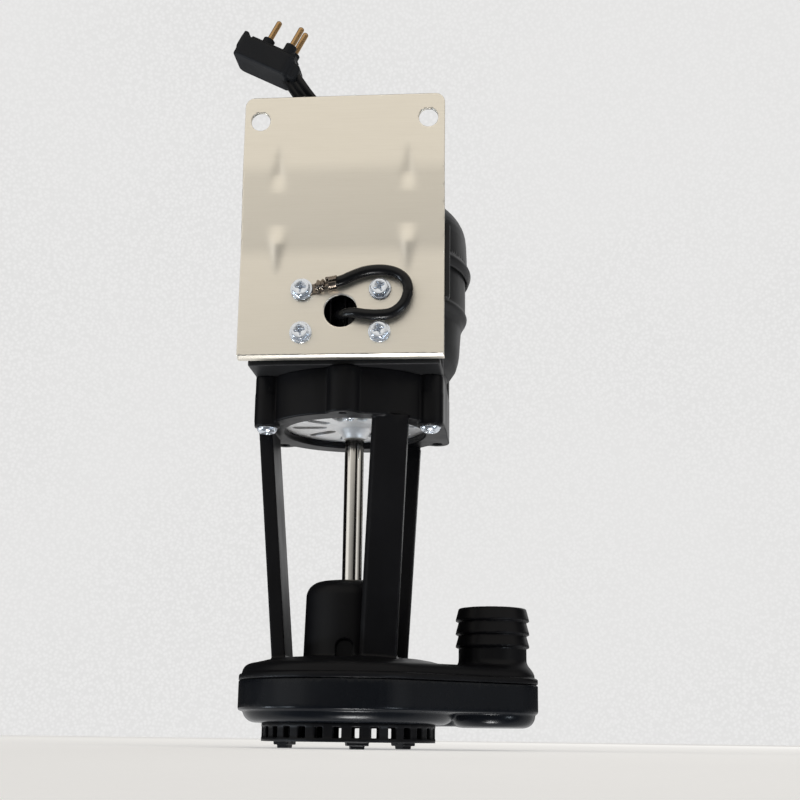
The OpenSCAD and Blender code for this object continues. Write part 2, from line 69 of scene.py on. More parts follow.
# ------------------------------------------------------------------ node material helpers
class Nodes:
    def __init__(self, name):
        self.m = bpy.data.materials.new(name)
        self.m.use_nodes = True
        self.t = self.m.node_tree
        self.b = self.t.nodes["Principled BSDF"]
        self.c = self.n("ShaderNodeTexCoord").outputs["Object"]

    def n(self, kind, **props):
        x = self.t.nodes.new(kind)
        for k, v in props.items():
            setattr(x, k, v)
        return x

    def link(self, a, b):
        self.t.links.new(a, b)

    def noise(self, scale, detail=3.0, rough=0.5, stretch=None, distortion=0.0):
        x = self.n("ShaderNodeTexNoise")
        x.inputs["Scale"].default_value = scale
        x.inputs["Detail"].default_value = detail
        x.inputs["Roughness"].default_value = rough
        x.inputs["Distortion"].default_value = distortion
        if stretch:
            mp = self.n("ShaderNodeMapping")
            mp.inputs["Scale"].default_value = stretch
            self.link(self.c, mp.inputs["Vector"])
            self.link(mp.outputs[0], x.inputs["Vector"])
        else:
            self.link(self.c, x.inputs["Vector"])
        return x.outputs["Fac"]

    def ramp(self, fac, stops):
        r = self.n("ShaderNodeValToRGB")
        e = r.color_ramp.elements
        while len(e) > len(stops):
            e.remove(e[-1])
        while len(e) < len(stops):
            e.new(0.5)
        for i, (p, col) in enumerate(stops):
            e[i].position = p
            e[i].color = (*col, 1) if len(col) == 3 else col
        self.link(fac, r.inputs["Fac"])
        return r.outputs["Color"]

    def span(self, fac, a, b, lo=0.3, hi=0.7):
        r = self.n("ShaderNodeMapRange")
        r.inputs["From Min"].default_value = lo
        r.inputs["From Max"].default_value = hi
        r.inputs["To Min"].default_value = a
        r.inputs["To Max"].default_value = b
        self.link(fac, r.inputs["Value"])
        return r.outputs["Result"]

    def math(self, op, a, b, clamp=False):
        x = self.n("ShaderNodeMath", operation=op, use_clamp=clamp)
        for i, v in enumerate((a, b)):
            if isinstance(v, (int, float)):
                x.inputs[i].default_value = v
            else:
                self.link(v, x.inputs[i])
        return x.outputs[0]

    def mix(self, fac, a, b):
        x = self.n("ShaderNodeMix", data_type="RGBA")
        self.link(fac, x.inputs["Factor"])
        for sock, v in ((x.inputs[6], a), (x.inputs[7], b)):
            if isinstance(v, tuple):
                sock.default_value = (*v, 1)
            else:
                self.link(v, sock)
        return x.outputs[2]

    def bump(self, height, strength, distance=0.0002, after=None):
        x = self.n("ShaderNodeBump")
        x.inputs["Strength"].default_value = strength
        x.inputs["Distance"].default_value = distance
        self.link(height, x.inputs["Height"])
        if after is not None:
            self.link(after, x.inputs["Normal"])
        return x.outputs["Normal"]

    def done(self, color, rough, normal=None, metallic=0.0, **consts):
        if isinstance(color, tuple):
            self.b.inputs["Base Color"].default_value = (*color, 1)
        else:
            self.link(color, self.b.inputs["Base Color"])
        if isinstance(rough, float):
            self.b.inputs["Roughness"].default_value = rough
        else:
            self.link(rough, self.b.inputs["Roughness"])
        if normal is not None:
            self.link(normal, self.b.inputs["Normal"])
        self.b.inputs["Metallic"].default_value = metallic
        for k, v in consts.items():
            self.b.inputs[k].default_value = v
        return self.m


def plastic(name, dark, light, r0, r1, grain=900, grain_strength=0.12, spec=0.5, specks=0.0, wear=0.35, coat=0.0):
    """Moulded plastic: slow shade variation, fine grain, scuffed lighter edges from the wear attribute, a few specks of dust."""
    k = Nodes(name)
    slow = k.noise(35, 4, 0.6)
    fine = k.noise(grain, 2, 0.5)
    streak = k.noise(120, 3, 0.7, stretch=(1, 1, 0.12))
    col = k.ramp(slow, [(0.3, dark), (0.72, light)])
    at = k.n("ShaderNodeAttribute", attribute_name="wear")
    scuff = k.math("MULTIPLY", at.outputs["Fac"], k.span(k.noise(260, 4, 0.7), 0, 1, 0.46, 0.7), clamp=True)
    col = k.mix(k.math("MULTIPLY", scuff, wear, clamp=True), col, tuple(min(1, c * 3 + 0.03) for c in light))
    if specks:
        spot = k.span(k.noise(420, 0, 0.5), 0, specks, 0.79, 0.82)
        col = k.mix(spot, col, (0.5, 0.5, 0.48))
    rough = k.math("ADD", k.span(slow, r0, r1), k.span(streak, -0.03, 0.05))
    rough = k.math("ADD", rough, k.math("MULTIPLY", scuff, 0.18), clamp=True)
    nrm = k.bump(fine, grain_strength, 0.00008)
    nrm = k.bump(k.noise(60, 2, 0.5), 0.06, 0.0006, after=nrm)
    return k.done(col, rough, nrm, 0.0, **{"Specular IOR Level": spec, "Coat Weight": coat})


def metal(name, a, b, r0, r1, grain=(1, 1, 1), gscale=400, bump=0.08, aniso=0.0, slow=40, tint=None, dist=0.00006, metallic=1.0):
    """Metal with a grain drawn along one axis, patchy polish and a little tarnish."""
    k = Nodes(name)
    g = k.noise(gscale, 3, 0.6, stretch=grain)
    s = k.noise(slow, 4, 0.6)
    col = k.ramp(s, [(0.3, a), (0.7, b)])
    col = k.mix(k.span(g, 0, 0.35, 0.35, 0.75), col, tuple(c * 0.8 for c in a))
    if tint:
        col = k.mix(k.span(k.noise(slow * 2.3, 5, 0.7), 0, 1, 0.58, 0.8), col, tint)
    rough = k.math("ADD", k.span(s, r0, r1), k.span(g, -0.04, 0.05))
    return k.done(col, rough, k.bump(g, bump, dist), metallic, **{"Anisotropic": aniso})


M = {}
M["moulded_black"] = plastic("moulded_black", (0.0028, 0.0028, 0.0034), (0.0046, 0.0046, 0.0056), 0.32, 0.42, spec=0.12, wear=0.15)
M["casing_black"] = plastic("casing_black", (0.0024, 0.003, 0.0043), (0.004, 0.0048, 0.0066), 0.2, 0.27, spec=0.16, wear=0.15)
M["cover_black"] = plastic("cover_black", (0.0075, 0.0075, 0.008), (0.0125, 0.0125, 0.0132), 0.38, 0.5, grain=1200, grain_strength=0.2, spec=0.25, wear=0.25)
M["seal_rubber"] = plastic("seal_rubber", (0.006, 0.006, 0.006), (0.012, 0.012, 0.012), 0.6, 0.8)
M["impeller_plastic"] = plastic("impeller_plastic", (0.55, 0.53, 0.47), (0.66, 0.64, 0.58), 0.35, 0.5, wear=0.1)
M["polished_steel"] = metal("polished_steel", (0.68, 0.65, 0.6), (0.76, 0.74, 0.69), 0.07, 0.12, (0.6, 0.6, 14), 900, 0.03, 0.3, tint=(0.5, 0.42, 0.3))
M["shield_aluminium"] = metal("shield_aluminium", (0.93, 0.93, 0.93), (0.97, 0.97, 0.97), 0.42, 0.58, (1, 1, 1), 700, 0.06, metallic=0.75)
M["bearing_bronze"] = metal("bearing_bronze", (0.5, 0.33, 0.15), (0.62, 0.42, 0.2), 0.4, 0.55, (1, 1, 1), 1500, 0.3)
M["laminated_iron"] = metal("laminated_iron", (0.2, 0.2, 0.21), (0.32, 0.32, 0.33), 0.4, 0.6, (0.4, 0.4, 60), 30, 0.8, dist=0.0003)
M["winding_copper"] = metal("winding_copper", (0.55, 0.2, 0.08), (0.7, 0.3, 0.12), 0.22, 0.34, (1, 1, 40), 40, 0.7, dist=0.0004)
M["rotor_metal"] = metal("rotor_metal", (0.32, 0.32, 0.33), (0.45, 0.45, 0.46), 0.35, 0.5, (1, 1, 30), 40, 0.5)
M["zinc_steel"] = metal("zinc_steel", (0.74, 0.79, 0.86), (0.85, 0.89, 0.95), 0.2, 0.3, (1, 1, 1), 900, 0.02, metallic=0.92)
M["plug_black"] = plastic("plug_black", (0.0055, 0.0062, 0.0078), (0.0095, 0.0105, 0.013), 0.5, 0.66, grain=1500, grain_strength=0.3, wear=0.25, spec=0.2)
M["lead_black"] = plastic("lead_black", (0.0028, 0.0028, 0.0032), (0.0048, 0.0048, 0.0054), 0.22, 0.3, grain=500, wear=0.1, spec=0.25)
M["terminal_bronze"] = metal("terminal_bronze", (0.17, 0.14, 0.115), (0.33, 0.28, 0.235), 0.2, 0.36, (1, 1, 1), 500, 0.15, tint=(0.05, 0.04, 0.03))
M["pin_brass"] = metal("pin_brass", (0.42, 0.25, 0.11), (0.54, 0.35, 0.17), 0.24, 0.34, (1, 1, 8), 700, 0.03)


def brushed():
    """Bracket sheet: satin stainless, fine grain across the sheet; its bright warm beige base colour is a painted
    reflection of a warm room, not the steel's own grey.
    """
    k = Nodes("brushed_stainless")
    g = k.noise(60, 5, 0.75, stretch=(1, 1, 55))
    h = k.noise(700, 2, 0.6, stretch=(0.35, 1, 1))
    s = k.noise(18, 3, 0.5)
    # painted reflection: these beige tones stand in for the warm room reflected in the steel; the darker streaks mixed
    # in follow the real grain
    col = k.ramp(s, [(0.3, (0.87, 0.82, 0.72)), (0.7, (0.91, 0.86, 0.765))])
    col = k.mix(k.span(g, 0, 0.35, 0.35, 0.8), col, (0.80, 0.745, 0.64))
    rough = k.math("ADD", k.span(s, 0.36, 0.42), k.span(g, -0.03, 0.06))
    nrm = k.bump(g, 0.12, 0.00006)
    nrm = k.bump(h, 0.06, 0.00005, after=nrm)
    return k.done(col, rough, nrm, 1.0, **{"Anisotropic": 0.3})


M["brushed_stainless"] = brushed()


# ------------------------------------------------------------------ distance fields
def fu(a, b, r):
    """Union with a fillet of radius r."""
    if r <= 0:
        return np.minimum(a, b)
    u, v = np.maximum(r - a, 0), np.maximum(r - b, 0)
    return np.maximum(r, np.minimum(a, b)) - np.sqrt(u * u + v * v)


def fi(a, b, r):
    """Intersection with a rounded edge of radius r."""
    if r <= 0:
        return np.maximum(a, b)
    u, v = np.maximum(r + a, 0), np.maximum(r + b, 0)
    return np.minimum(-r, np.maximum(a, b)) + np.sqrt(u * u + v * v)


def fd(a, b, r):
    return fi(a, -b, r)


def band(t, a, b):
    return np.abs(t - (a + b) / 2) - (b - a) / 2


def ring(x, y, cx, cy, r):
    return np.hypot(x - cx, y - cy) - r


def box2(x, y, x0, x1, y0, y1, r):
    """Rounded rectangle, exact."""
    dx, dy = band(x, x0, x1) + r, band(y, y0, y1) + r
    return np.hypot(np.maximum(dx, 0), np.maximum(dy, 0)) + np.minimum(np.maximum(dx, dy), 0) - r


def poly_lathe(r, z, pts):
    """Signed distance to a closed profile in (r, z)."""
    d = np.full(r.shape, 1e9, r.dtype)
    inside = np.zeros(r.shape, bool)
    n = len(pts)
    for i in range(n):
        (ax, ay), (bx, by) = pts[i], pts[(i + 1) % n]
        ex, ey = bx - ax, by - ay
        wx, wy = r - ax, z - ay
        t = np.clip((wx * ex + wy * ey) / (ex * ex + ey * ey), 0, 1)
        d = np.minimum(d, (wx - ex * t) ** 2 + (wy - ey * t) ** 2)
        if ay != by:
            c = ((ay <= z) & (by > z)) | ((by <= z) & (ay > z))
            inside ^= c & (r < ax + (z - ay) / (by - ay) * ex)
    d = np.sqrt(d)
    return np.where(inside, -d, d)


def surface(f, lo, hi, h, newton=4):
    """Closed mesh of f = 0 inside a box, on a grid of pitch h, each point then moved onto the surface."""
    ax = [np.arange(lo[i] - 1.5 * h, hi[i] + 2.5 * h, h) for i in range(3)]
    nx, ny, nz = (len(a) for a in ax)
    D = np.empty((nx, ny, nz), np.float32)
    step = max(1, int(3e6 // (ny * nz)))
    for i in range(0, nx, step):
        X, Y, Z = np.meshgrid(ax[0][i:i + step].astype(np.float32), ax[1].astype(np.float32), ax[2].astype(np.float32), indexing="ij")
        D[i:i + step] = f(X, Y, Z)
    D[D == 0] = 1e-6
    S = D < 0
    cnt = np.zeros((nx - 1, ny - 1, nz - 1), np.int8)
    for a in (0, 1):
        for b in (0, 1):
            for c in (0, 1):
                cnt += S[a:nx - 1 + a, b:ny - 1 + b, c:nz - 1 + c]
    act = (cnt > 0) & (cnt < 8)
    idx = np.full(act.shape, -1, np.int64)
    I, J, K = np.nonzero(act)
    idx[I, J, K] = np.arange(len(I))
    P = np.zeros((len(I), 3))
    N = np.zeros(len(I))
    corner = [(a, b, c) for a in (0, 1) for b in (0, 1) for c in (0, 1)]
    for p in corner:
        for q in corner:
            if p < q and sum(abs(p[k] - q[k]) for k in range(3)) == 1:
                d0 = D[I + p[0], J + p[1], K + p[2]].astype(float)
                d1 = D[I + q[0], J + q[1], K + q[2]].astype(float)
                cr = (d0 < 0) != (d1 < 0)
                t = np.where(cr, d0 / np.where(cr, d0 - d1, 1), 0)
                for k in range(3):
                    P[:, k] += np.where(cr, p[k] + (q[k] - p[k]) * t, 0)
                N += cr
    P = P / N[:, None] + np.stack([I, J, K], 1)
    P = np.stack([ax[k][0] + P[:, k] * h for k in range(3)], 1)
    F = []
    for k in range(3):
        a, b = [(1, 2), (2, 0), (0, 1)][k]
        sl0 = [slice(None)] * 3
        sl1 = [slice(None)] * 3
        sl0[k], sl1[k] = slice(0, -1), slice(1, None)
        s0, s1 = S[tuple(sl0)], S[tuple(sl1)]
        e = np.argwhere(s0 != s1)
        e = e[(e[:, a] > 0) & (e[:, b] > 0) & (e[:, a] < D.shape[a] - 1) & (e[:, b] < D.shape[b] - 1)]
        q = []
        for da, db in ((-1, -1), (0, -1), (0, 0), (-1, 0)):
            w = e.copy()
            w[:, a] += da
            w[:, b] += db
            q.append(idx[w[:, 0], w[:, 1], w[:, 2]])
        q = np.stack(q, 1)
        flip = ~s0[e[:, 0], e[:, 1], e[:, 2]]
        q[flip] = q[flip][:, ::-1]
        F.append(q)
    F = np.concatenate(F)
    F = F[(F >= 0).all(1)]

    def grad(P, s):
        return np.stack([(f(*(P + d).T) - f(*(P - d).T)) / (2 * s) for d in np.eye(3) * s], 1)

    for _ in range(newton):
        d = f(*P.T)
        g = grad(P, 0.02)
        g2 = np.maximum((g * g).sum(1), 0.2)
        P = P - np.clip(d / g2, -0.5 * h, 0.5 * h)[:, None] * g
    n = grad(P, 0.05)
    n /= np.maximum(np.linalg.norm(n, axis=1), 1e-6)[:, None]
    s = 0.7
    wear = np.clip((f(*(P - n * s).T) + s) / s * 1.6 - 0.15, 0, 1)
    return P, F, wear


def new_object(name, verts, faces, mat, wear=None, body="housing", smooth=True):
    me = bpy.data.meshes.new(name)
    me.from_pydata((np.asarray(verts) * MM).tolist(), [], [tuple(int(i) for i in q) for q in faces])
    me.validate()
    me.update()
    if wear is not None:
        at = me.attributes.new("wear", "FLOAT", "POINT")
        at.data.foreach_set("value", np.asarray(wear, np.float32))
    ob = bpy.data.objects.new(name, me)
    scene.collection.objects.link(ob)
    me.materials.append(M[mat])
    me.polygons.foreach_set("use_smooth", [smooth] * len(me.polygons))
    ob["part_body"] = body
    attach(ob, body)
    return ob


def bake_modifiers(ob):
    dg = bpy.context.evaluated_depsgraph_get()
    dg.update()
    me = bpy.data.meshes.new_from_object(ob.evaluated_get(dg))
    ob.modifiers.clear()
    ob.data = me
    return ob


def solid(name, f, lo, hi, h, mat, keep=1.0, body="housing", place=None, replaces=()):
    """A piece from a distance field. keep is the share of faces that stay."""
    P, F, wear = surface(f, lo, hi, h)
    if place is not None:
        R = np.array(place)
        P = P @ R[:3, :3].T + R[:3, 3]
    ob = new_object(name, P, F, mat, wear, body)
    if keep < 1:
        d = ob.modifiers.new("thin", "DECIMATE")
        d.ratio = keep
        bake_modifiers(ob)
    w = ob.modifiers.new("normals", "WEIGHTED_NORMAL")
    w.mode = "FACE_AREA"
    w.weight = 60
    if replaces:
        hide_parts(*replaces)
    return ob


# ------------------------------------------------------------------ cords first
def unit(v):
    return v / np.maximum(np.linalg.norm(v, axis=-1, keepdims=True), 1e-9)


def spline(pts, k):
    """Catmull-Rom through points, k steps a segment."""
    p = np.asarray(pts, float)
    p = np.vstack([2 * p[0] - p[1], p, 2 * p[-1] - p[-2]])
    out = []
    for i in range(1, len(p) - 2):
        for t in np.arange(k) / k:
            a, b, c, d = p[i - 1], p[i], p[i + 1], p[i + 2]
            out.append(0.5 * (2 * b + (c - a) * t + (2 * a - 5 * b + 4 * c - d) * t * t + (3 * b - a - 3 * c + d) * t ** 3))
    out.append(p[-2])
    return np.array(out)


def sweep(name, path, side, section, mat, replaces=(), scale=None):
    """Closed tube: section is a list of (across, thick) points, side the thin direction along the path."""
    path = np.asarray(path, float)
    t = unit(np.gradient(path, axis=0))
    s = unit(np.cross(t, side))
    u = np.cross(s, t)
    sec = np.asarray(section, float)
    sc = np.ones(len(path)) if scale is None else np.asarray(scale)
    rings_ = path[:, None] + s[:, None] * (sec[None, :, 0] * sc[:, None])[..., None] + u[:, None] * (sec[None, :, 1] * sc[:, None])[..., None]
    n, k = len(path), len(sec)
    V = rings_.reshape(-1, 3)
    F = [(i * k + j, i * k + (j + 1) % k, (i + 1) * k + (j + 1) % k, (i + 1) * k + j) for i in range(n - 1) for j in range(k)]
    F += [tuple(range(k - 1, -1, -1)), tuple((n - 1) * k + j for j in range(k))]
    ob = new_object(name, V, F, mat, np.zeros(len(V)))
    bm = bmesh.new()
    bm.from_mesh(ob.data)
    bmesh.ops.recalc_face_normals(bm, faces=bm.faces)
    bm.to_mesh(ob.data)
    bm.free()
    if replaces:
        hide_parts(*replaces)
    return ob


CORD = [[-31.6, 3, 230.8], [-31.6, 8, 230.8], [-31.2, 13.4, 230.8], [-29, 19.2, 230.8], [-25, 24.2, 230.8], [-19.4, 28.2, 230.8], [-12.6, 30.8, 230.8], [-5, 31.9, 230.8],
  [3, 31.8, 230.8], [10.6, 30, 230.8], [17.4, 26.6, 230.8], [23.2, 21.8, 230.8], [27.8, 15.6, 230.8], [30.7, 8.6, 230.8], [31.8, 1, 230.8], [30.9, -6.4, 231],
  [28, -13.4, 231.4], [23.6, -19.8, 232.2], [18, -25.6, 233.6], [11.8, -30.8, 235.8], [5.2, -35.6, 239], [-1.2, -39.8, 243.2], [-7.2, -43.4, 248],
  [-12.8, -46.4, 253.4], [-17.6, -48.6, 259], [-21.4, -49.6, 264.4], [-24, -50, 268.4]]
CORD_N = [([-1, 0.1 * i, 0] if i < 3 else [CORD[i][0], CORD[i][1], 0] if i < 17 else [24 - 1.3 * i, -20, (i - 17) * 0.6]) for i in range(len(CORD))]
for _i in range(1, len(CORD_N)):
    if np.dot(CORD_N[_i], CORD_N[_i - 1]) < 0:
        CORD_N[_i] = [-v for v in CORD_N[_i]]
cord_path = spline(CORD, 5)
cord_side = spline(unit(np.array(CORD_N, float)), 5)


def three_core(half=2.2, r=1.78, n=16):
    """Outline of a flat cord with three round cores."""
    pts = []
    a0 = math.acos(half / 2 / r)
    for a in np.linspace(a0 - math.pi, math.pi - a0, n):
        pts.append((half + r * math.cos(a), r * math.sin(a)))
    for a in np.linspace(a0, math.pi - a0, n // 2)[1:]:
        pts.append((r * math.cos(a), r * math.sin(a)))
    for a in np.linspace(a0, 2 * math.pi - a0, n)[1:]:
        pts.append((-half + r * math.cos(a), r * math.sin(a)))
    for a in np.linspace(math.pi + a0, 2 * math.pi - a0, n // 2)[1:-1]:
        pts.append((r * math.cos(a), r * math.sin(a)))
    return pts


cord = sweep("supply_lead", cord_path, cord_side, three_core(), "lead_black", replaces=("power_cord",))

EARTH = [[-2.2, -36.4, 164.6], [-2.2, -42, 164.6], [-1.9, -46, 164.6], [-0.2, -50, 164.6], [2.8, -53.6, 164.3], [6, -55.5, 163.7], [10, -55.8, 163],
  [15, -55.8, 162.7], [19.6, -55.6, 163.2], [23.2, -55.4, 165.3], [25.6, -55.2, 168.6], [26.6, -55.2, 172.6], [25.8, -55.2, 176.4],
  [23, -55.2, 179.3], [19, -55.2, 180.8], [14.4, -55.2, 181.2], [9.6, -55.2, 180.6], [5, -55.2, 179], [1, -55.2, 177.2], [-3.4, -55.2, 176]]
earth_path = spline(EARTH, 6)
_sec = [(2.05 * math.cos(a), 2.05 * math.sin(a)) for a in np.arange(24) * math.pi / 12]
_w = 1 + 0.006 * np.sin(np.arange(len(earth_path)) * 1.7) + 0.004 * np.sin(np.arange(len(earth_path)) * 0.61)
_w[-1] *= 0.94
earth = sweep("earth_wire", earth_path, np.tile([0.08, 0.05, 1.0], (len(earth_path), 1)), _sec, "lead_black", replaces=("earth_lead",), scale=_w)

# ------------------------------------------------------------------ stage and light
FLOOR_GLOW = 0.37
me = bpy.data.meshes.new("floor")
me.from_pydata([(-2.5, -1.6, 0), (2.5, -1.6, 0), (2.5, 3.4, 0), (-2.5, 3.4, 0)], [], [(0, 1, 2, 3)])
floor = bpy.data.objects.new("floor", me)
scene.collection.objects.link(floor)
k = Nodes("floor_foam")
cell = k.n("ShaderNodeTexVoronoi")
cell.inputs["Scale"].default_value = 320
k.link(k.c, cell.inputs["Vector"])
me.materials.append(k.done(k.ramp(k.noise(6, 3), [(0.3, (0.76, 0.757, 0.75)), (0.7, (0.79, 0.787, 0.78))]), 0.9, k.bump(cell.outputs["Distance"], 0.2, 0.0005)))
floor.visible_glossy = False
floor.visible_shadow = False
k.b.inputs["Emission Color"].default_value = (1, 0.993, 0.985, 1)
k.b.inputs["Emission Strength"].default_value = FLOOR_GLOW

world = bpy.data.worlds.new("studio")
scene.world = world
world.use_nodes = True
wt = world.node_tree
for n_ in list(wt.nodes):
    wt.nodes.remove(n_)
wo = wt.nodes.new("ShaderNodeOutputWorld")
bg_cam, bg_all = wt.nodes.new("ShaderNodeBackground"), wt.nodes.new("ShaderNodeBackground")
lp, mx = wt.nodes.new("ShaderNodeLightPath"), wt.nodes.new("ShaderNodeMixShader")
tc, sp = wt.nodes.new("ShaderNodeTexCoord"), wt.nodes.new("ShaderNodeSeparateXYZ")
def wmath(op, a, b=None, c=None):
    x = wt.nodes.new("ShaderNodeMath")
    x.operation = op
    for i, v in enumerate((a, b, c)):
        if isinstance(v, (int, float)):
            x.inputs[i].default_value = v
        elif v is not None:
            wt.links.new(v, x.inputs[i])
    return x.outputs[0]


def wstep(v, lo, hi):
    x = wt.nodes.new("ShaderNodeMapRange")
    x.interpolation_type = "SMOOTHSTEP"
    x.inputs["From Min"].default_value = lo
    x.inputs["From Max"].default_value = hi
    wt.links.new(v, x.inputs["Value"])
    return x.outputs["Result"]


def wmix(f, a, b):
    x = wt.nodes.new("ShaderNodeMix")
    x.data_type = "RGBA"
    wt.links.new(f, x.inputs["Factor"])
    for sock, v in ((x.inputs[6], a), (x.inputs[7], b)):
        if isinstance(v, tuple):
            sock.default_value = (*v, 1)
        else:
            wt.links.new(v, sock)
    return x.outputs[2]


wt.links.new(tc.outputs["Generated"], sp.inputs[0])
azim = wmath("ARCTAN2", sp.outputs["X"], wmath("MULTIPLY", sp.outputs["Y"], -1.0))
cr = wt.nodes.new("ShaderNodeValToRGB")
wt.links.new(wmath("MULTIPLY_ADD", azim, 0.5 / math.pi, 0.5), cr.inputs[0])
e = cr.color_ramp.elements
stops = [(-180, 0.015), (-100, 0.015), (-76, 0.6), (-70, 1.1), (-42, 1.1), (-33, 0.5), (-10, 0.34), (12, 0.16), (30, 0.02), (49, 0.02), (53, 0.95), (62, 0.95), (76, 0.5), (100, 0.015), (180, 0.015)]
while len(e) < len(stops):
    e.new(0.5)
for i, (deg, v) in enumerate(stops):
    e[i].position = (deg + 180) / 360
    e[i].color = (v, v * 0.995, v * 0.985, 1)
front = wstep(sp.outputs["Y"], 0.15, -0.15)
card = wmix(front, (0.03, 0.03, 0.03), (0.92, 0.885, 0.825))
under = wmix(front, (0.72, 0.72, 0.72), (0.05, 0.055, 0.065))
sky = wmix(wstep(sp.outputs["Z"], 0.13, 0.30), cr.outputs[0], card)
sky = wmix(wstep(sp.outputs["Z"], 0.0, -0.07), sky, under)
wt.links.new(sky, bg_all.inputs[0])
vo = wt.nodes.new("ShaderNodeTexVoronoi")
vo.inputs["Scale"].default_value = 430
wt.links.new(tc.outputs["Generated"], vo.inputs["Vector"])
no = wt.nodes.new("ShaderNodeTexNoise")
no.inputs["Scale"].default_value = 5
wt.links.new(tc.outputs["Generated"], no.inputs["Vector"])
beads = wmix(wstep(vo.outputs["Distance"], 0.15, 0.75), (0.825, 0.822, 0.818), (0.765, 0.762, 0.757))
beads = wmix(wmath("MULTIPLY", wstep(no.outputs["Fac"], 0.35, 0.7), 0.5), beads, (0.81, 0.805, 0.80))
wt.links.new(beads, bg_cam.inputs[0])
wt.links.new(lp.outputs["Is Camera Ray"], mx.inputs[0])
wt.links.new(bg_all.outputs[0], mx.inputs[1])
wt.links.new(bg_cam.outputs[0], mx.inputs[2])
wt.links.new(mx.outputs[0], wo.inputs[0])


def area(name, where, at, size, power, color=(1, 1, 1), size_y=None):
    l = bpy.data.lights.new(name, "AREA")
    l.energy, l.color = power, color
    l.size = size
    if size_y:
        l.shape, l.size_y = "RECTANGLE", size_y
    o = bpy.data.objects.new(name, l)
    scene.collection.objects.link(o)
    o.location = where
    o.rotation_euler = (Vector(at) - Vector(where)).to_track_quat("-Z", "Y").to_euler()
    return o


for _n, _az, _el, _p in (("rim_left", -82, -16, 1.1), ("rim_mid", 53, -16, 1.0), ("rim_right", -58, -18, 1.0)):
    _a, _e = math.radians(_az), math.radians(_el)
    area(_n, (0.7 * math.cos(_e) * math.sin(_a), -0.7 * math.cos(_e) * math.cos(_a), 0.7 * math.sin(_e)), (0.01, 0, 0.015), 0.07, _p, (0.8, 0.9, 1.0))
area("back", (0.5, 1.3, 0.9), (0, 0, 0.12), 1.4, 5, (1, 1, 1))
area("under_shield", (0.04, -0.12, -0.35), (0, 0, 0.13), 0.1, 1.5, (1, 1, 1))

# ------------------------------------------------------------------ volute outline
OX, OY, RA, RB = 57.0, 14.0, 44.3, 18.4
DD = math.hypot(OX, OY)


def outline(x, y):
    """Distance to the plan of the volute: two circles and the straight sides between them."""
    ux, uy = OX / DD, OY / DD
    al = x * ux + y * uy
    pe = np.abs(-x * uy + y * ux)
    b = (RA - RB) / DD
    a = math.sqrt(1 - b * b)
    kk = -b * pe + a * al
    return np.where(kk < 0, np.hypot(pe, al) - RA, np.where(kk > a * DD, np.hypot(pe, al - DD) - RB, pe * a + al * b - RA))


def f_casing(x, y, z):
    o = outline(x, y)
    d = fi(fi(o, 14.2 - z, 1.1), z - 25.75, 0.3)
    main = fi(ring(x, y, 0, 0, 42.4), 9.7 - z, 5.2)
    main = fi(main, z - 20, 0)
    out = fi(ring(x, y, OX, OY, 17.0), 9.0 - z, 4.8)
    t = np.clip(((x - 28) * 29 + (y - 27) * -13) / 1010.0, 0, 1)
    duct = np.maximum(np.hypot(x - 28 - 29 * t, y - 27 + 13 * t) - (13.5 + 3.1 * t), o + 1.8)
    out = fi(out, z - 20, 0)
    scroll = np.maximum(fi(np.maximum(duct, 12 - y), 9.35 - z, 4.6), z - 20)
    d = fu(d, fu(fu(main, out, 1.6), scroll, 1.2), 0.9)
    inner = fi(o + 3, 15.0 - z, 2.0)
    inner = fu(inner, fi(ring(x, y, 0, 0, 38), 12.2 - z, 3), 0.6)
    inner = fu(inner, fi(ring(x, y, OX, OY, 13.4), 11.6 - z, 2.5), 0.6)
    d = fd(d, inner, 0.3)
    return fd(d, ring(x, y, 0, 0, 13), 0.6)


solid("lower_casing_shell", f_casing, (-45, -45, 8.6), (76, 45, 26.2), 0.62, "casing_black", keep=0.5, replaces=("lower_casing",))

LEAN = math.atan((36 - 27.5) / (128 - 35))
LEG_L = (128 - 35) / math.cos(LEAN) + 4


def leg(x, y, z, a, turn, w, bevel, t=5.6):
    ca, sa = math.cos(math.radians(a)), math.sin(math.radians(a))
    px, py, pz = x * ca + y * sa - 27.5, -x * sa + y * ca, z - 34
    cl, sl = math.cos(LEAN), math.sin(LEAN)
    qx, qz = px * cl - pz * sl, px * sl + pz * cl
    ct, st = math.cos(math.radians(turn)), math.sin(math.radians(turn))
    rx, ry = qx * ct + py * st, -qx * st + py * ct
    d = box2(rx, ry, -t / 2, t / 2, -w / 2, w / 2, 0.6)
    d = fi(d, ((rx - t / 2) - (ry + w / 2) + bevel) / math.sqrt(2), 0.4)
    return np.maximum(np.maximum(d, band(qz, -3, LEG_L)), z - 128.6)


DOME = [(0, 20), (0, 35), (24, 35), (30, 34.6), (34, 33.9), (37, 32.9), (39.5, 31.5), (41.3, 29.9), (42.4, 28.2), (42.8, 26), (42.8, 20)]


